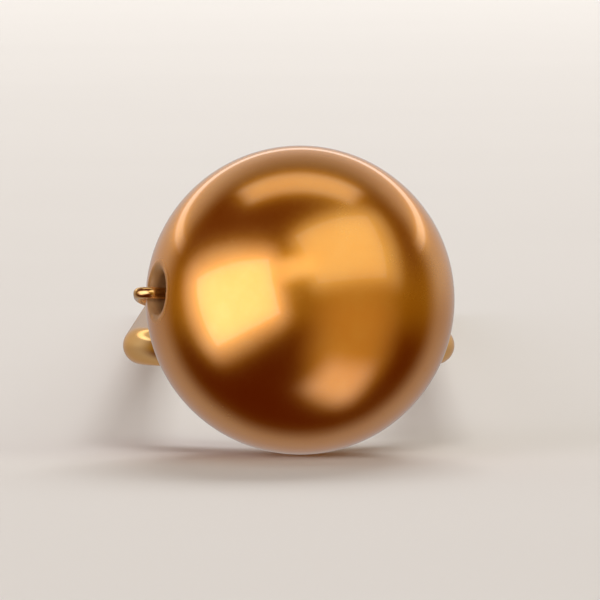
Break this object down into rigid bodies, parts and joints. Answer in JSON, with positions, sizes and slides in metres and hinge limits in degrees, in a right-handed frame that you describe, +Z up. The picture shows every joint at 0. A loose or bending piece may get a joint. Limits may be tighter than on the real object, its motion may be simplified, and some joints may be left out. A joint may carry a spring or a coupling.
{
  "type": "pearl hair pin",
  "caption": "Two-legged hair pin of round gold-coloured wire with a gold pearl bound to its bend by fine wire.",
  "frame": {"origin": "on the surface that the pin lies on, under the middle of its length and midway between its legs", "axes": "+Z up, +Y from the pearl to the tips, +X across the legs; seen from -Y the pearl faces the viewer and hides the legs, as in the picture"},
  "size_m": [0.0088, 0.0706, 0.008],
  "materials": {
    "gold_pearl": "deep gold pearl lacquer with a metallic lustre under a clear gloss coat",
    "gold_plated_steel": "bright gold-coloured plating on drawn steel wire",
    "gold_binding_wire": "bright fine brass wire"
  },
  "bodies": {
    "root": {"pearl": "gold_pearl", "pin": "gold_plated_steel", "binding_wire": "gold_binding_wire"}
  },
  "joints": []
}
